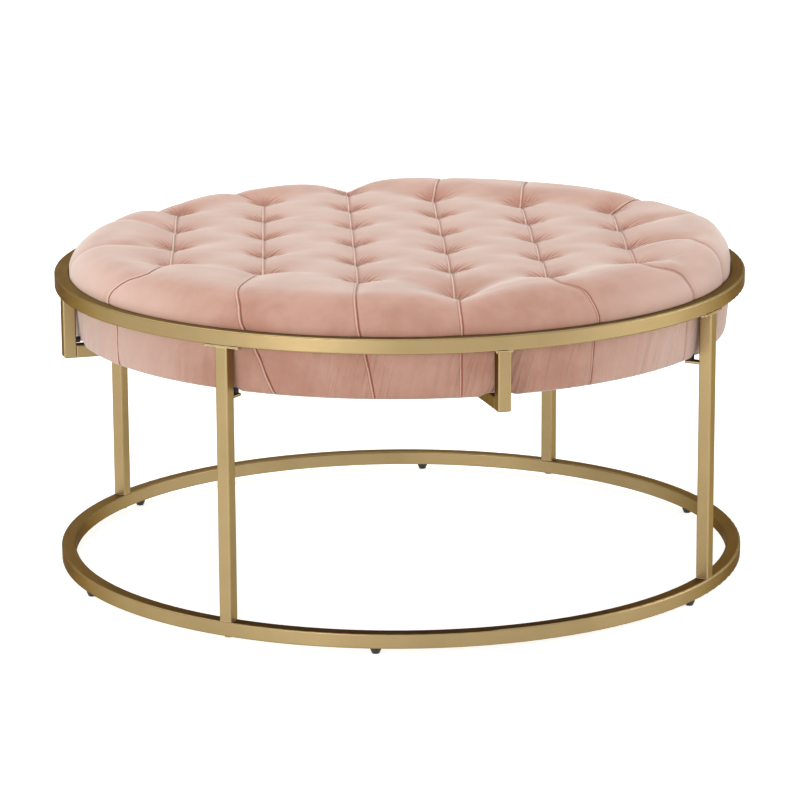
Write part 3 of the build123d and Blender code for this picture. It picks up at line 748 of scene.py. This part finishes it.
# Gathers on the side, close together and a little aslant, in patches and beside the seams.
round_seat = maths(tree, "MULTIPLY", maths(tree, "ARCTAN2", cloth_xy[1], cloth_xy[0]), 56.0)
slanting = node(tree, "ShaderNodeCombineXYZ", X=maths(tree, "MULTIPLY_ADD", from_middle, 34.0, round_seat),
                Y=maths(tree, "MULTIPLY", from_middle, 9.0)).outputs[0]
gathers = ramp(tree, noise(tree, slanting, 1.0, 2.0, Roughness=0.4), 0.28, 0.72)
patches = maths(tree, "MULTIPLY", ramp(tree, noise(tree, where, 7.0, 1.0), 0.38, 0.58, 0.25, 1.0),
                ramp(tree, from_middle, 0.455, 0.500))
beside_seams = maths(tree, "MULTIPLY", ramp(tree, seam_away, 0.006, 0.028, 0.6, 0.0),
                     ramp(tree, from_middle, 0.43, 0.48))
gathers = maths(tree, "MULTIPLY", gathers, maths(tree, "MAXIMUM", patches, beside_seams))
folded = maths(tree, "MULTIPLY", gathers, 0.0020)
folded = maths(tree, "MULTIPLY_ADD", fan, 0.0009, folded)
folded = maths(tree, "MULTIPLY_ADD", band, 0.0010, folded)
folded = maths(tree, "MULTIPLY_ADD", groove, -0.0003, folded)

# The pile's colour: mottled, with a painted sheen towards both ends, painted shade in the tufts, and the
# seams' painted highlight and shade lines, which are softer in the tufted field than on the side.
nap = noise(tree, where, 16.0, 4.0, Roughness=0.55)
pile = noise(tree, where, 900.0, 2.0)
sideways = node(tree, "ShaderNodeVectorMath", operation="DOT_PRODUCT", I0=where,
                I1=(*right_way, 0)).outputs["Value"]
# Painted sheen: the colour turns paler towards both ends of the seat.
end_sheen = maths(tree, "MULTIPLY", ramp(tree, maths(tree, "ABSOLUTE", sideways), 0.20, 0.36, 0.0, 0.6),
                   ramp(tree, from_middle, 0.39, 0.45))
# Painted shade in the tufts and in the creases of their fanned pleats.
shadowed = maths(tree, "MAXIMUM", maths(tree, "MULTIPLY", ramp(tree, tuft_reach, 0.001, 0.034, 1.0, 0.0), 0.42),
                 maths(tree, "MULTIPLY", fan, 0.34))
field_end, side_begin = 0.30, 0.40
# Painted highlight on the raised bands; painted shade in the seam grooves and along the bands' outer edges.
band_highlight = maths(tree, "MULTIPLY", band, ramp(tree, from_middle, field_end, side_begin, 0.85, 0.55))
seam_groove_shade = maths(tree, "MULTIPLY", groove, ramp(tree, from_middle, field_end, side_begin, 0.42, 0.85))
band_edge_shade_line = maths(tree, "MULTIPLY", band_edge_shade, ramp(tree, from_middle, field_end, side_begin, 0.22, 0.35))
shade = mixed(tree, ramp(tree, nap, 0.30, 0.70), nap_deep, nap_pale)
shade = mixed(tree, end_sheen, shade, end_sheen_colour)
shade = mixed(tree, shadowed, shade, tuft_shade)
shade = mixed(tree, band_highlight, shade, band_highlight_colour)
shade = mixed(tree, maths(tree, "MAXIMUM", seam_groove_shade, band_edge_shade_line), shade, seam_shade_colour)
coat(tree, Base_Color=shade, Roughness=0.95,
     Normal=bump(tree, 0.25, 0.0004, pile, Normal=bump(tree, 1.0, 1.0, folded)),
     Specular_IOR_Level=0.1, Sheen_Weight=1.0, Sheen_Roughness=0.45, Sheen_Tint=pile_shine)
seat.data.materials.append(velvet)
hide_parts("seat_foam", "seat_wadding", *[f"velvet_panel_{i}" for i in range(1, 8)])
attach(seat, "root")


# Dust cover: thin black non-woven cloth, pressed flat by the cross bars and the staples. It hangs a
# little slack between them, and puckers from staple to staple round its edge.
dust_radius, dust_level, dust_thick = 0.405, 0.3200, 0.0006
staple_count, slack_deep, pucker_deep = 24, 0.0035, 0.0007
shape = bmesh.new()
ray = [shape.verts.new((dust_radius * (step / 60) ** 0.8, 0, dust_level)) for step in range(61)]
lines = [shape.edges.new(pair) for pair in zip(ray, ray[1:])]
bmesh.ops.spin(shape, geom=ray + lines, cent=(0, 0, 0), axis=(0, 0, 1), angle=2 * math.pi, steps=192,
               use_merge=True)
bmesh.ops.remove_doubles(shape, verts=shape.verts, dist=0.00005)
dust_mesh = made_mesh("dust_sheet", shape)
flat = corners_of(dust_mesh)
off_long_bar, off_half_bars = np.abs(flat[:, 1]), np.abs(flat[:, 0])
reach, bearing = np.hypot(flat[:, 0], flat[:, 1]), np.arctan2(flat[:, 1], flat[:, 0])
slack = smooth(off_half_bars, 0.012, 0.10) * smooth(off_long_bar, 0.012, 0.10) * (1 - smooth(reach, 0.30, 0.385))
pucker = (1 - np.cos(bearing * staple_count + math.pi)) / 2
pucker *= smooth(reach, 0.34, 0.385) * (1 - smooth(reach, 0.395, 0.404))
pucker *= smooth(np.minimum(off_half_bars, off_long_bar), 0.010, 0.030)
flat[:, 2] -= slack_deep * slack + pucker_deep * pucker
move_corners(dust_mesh, flat)
for face in dust_mesh.polygons:
    face.use_smooth = True
dust = put_in_scene("dust_sheet", dust_mesh)
body = dust.modifiers.new("thickness", "SOLIDIFY")
body.thickness = dust_thick
body.offset = 1
cloth_black, tree = new_material("black_felted_cloth")
fibre = noise(tree, object_place(tree), 500.0, 4.0)
coat(tree, Base_Color=mixed(tree, fibre, srgb(18, 18, 18), srgb(44, 43, 42)), Roughness=0.9,
     Normal=bump(tree, 0.4, 0.0003, fibre))
dust_mesh.materials.append(cloth_black)
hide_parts("dust_cover")
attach(dust, "root")
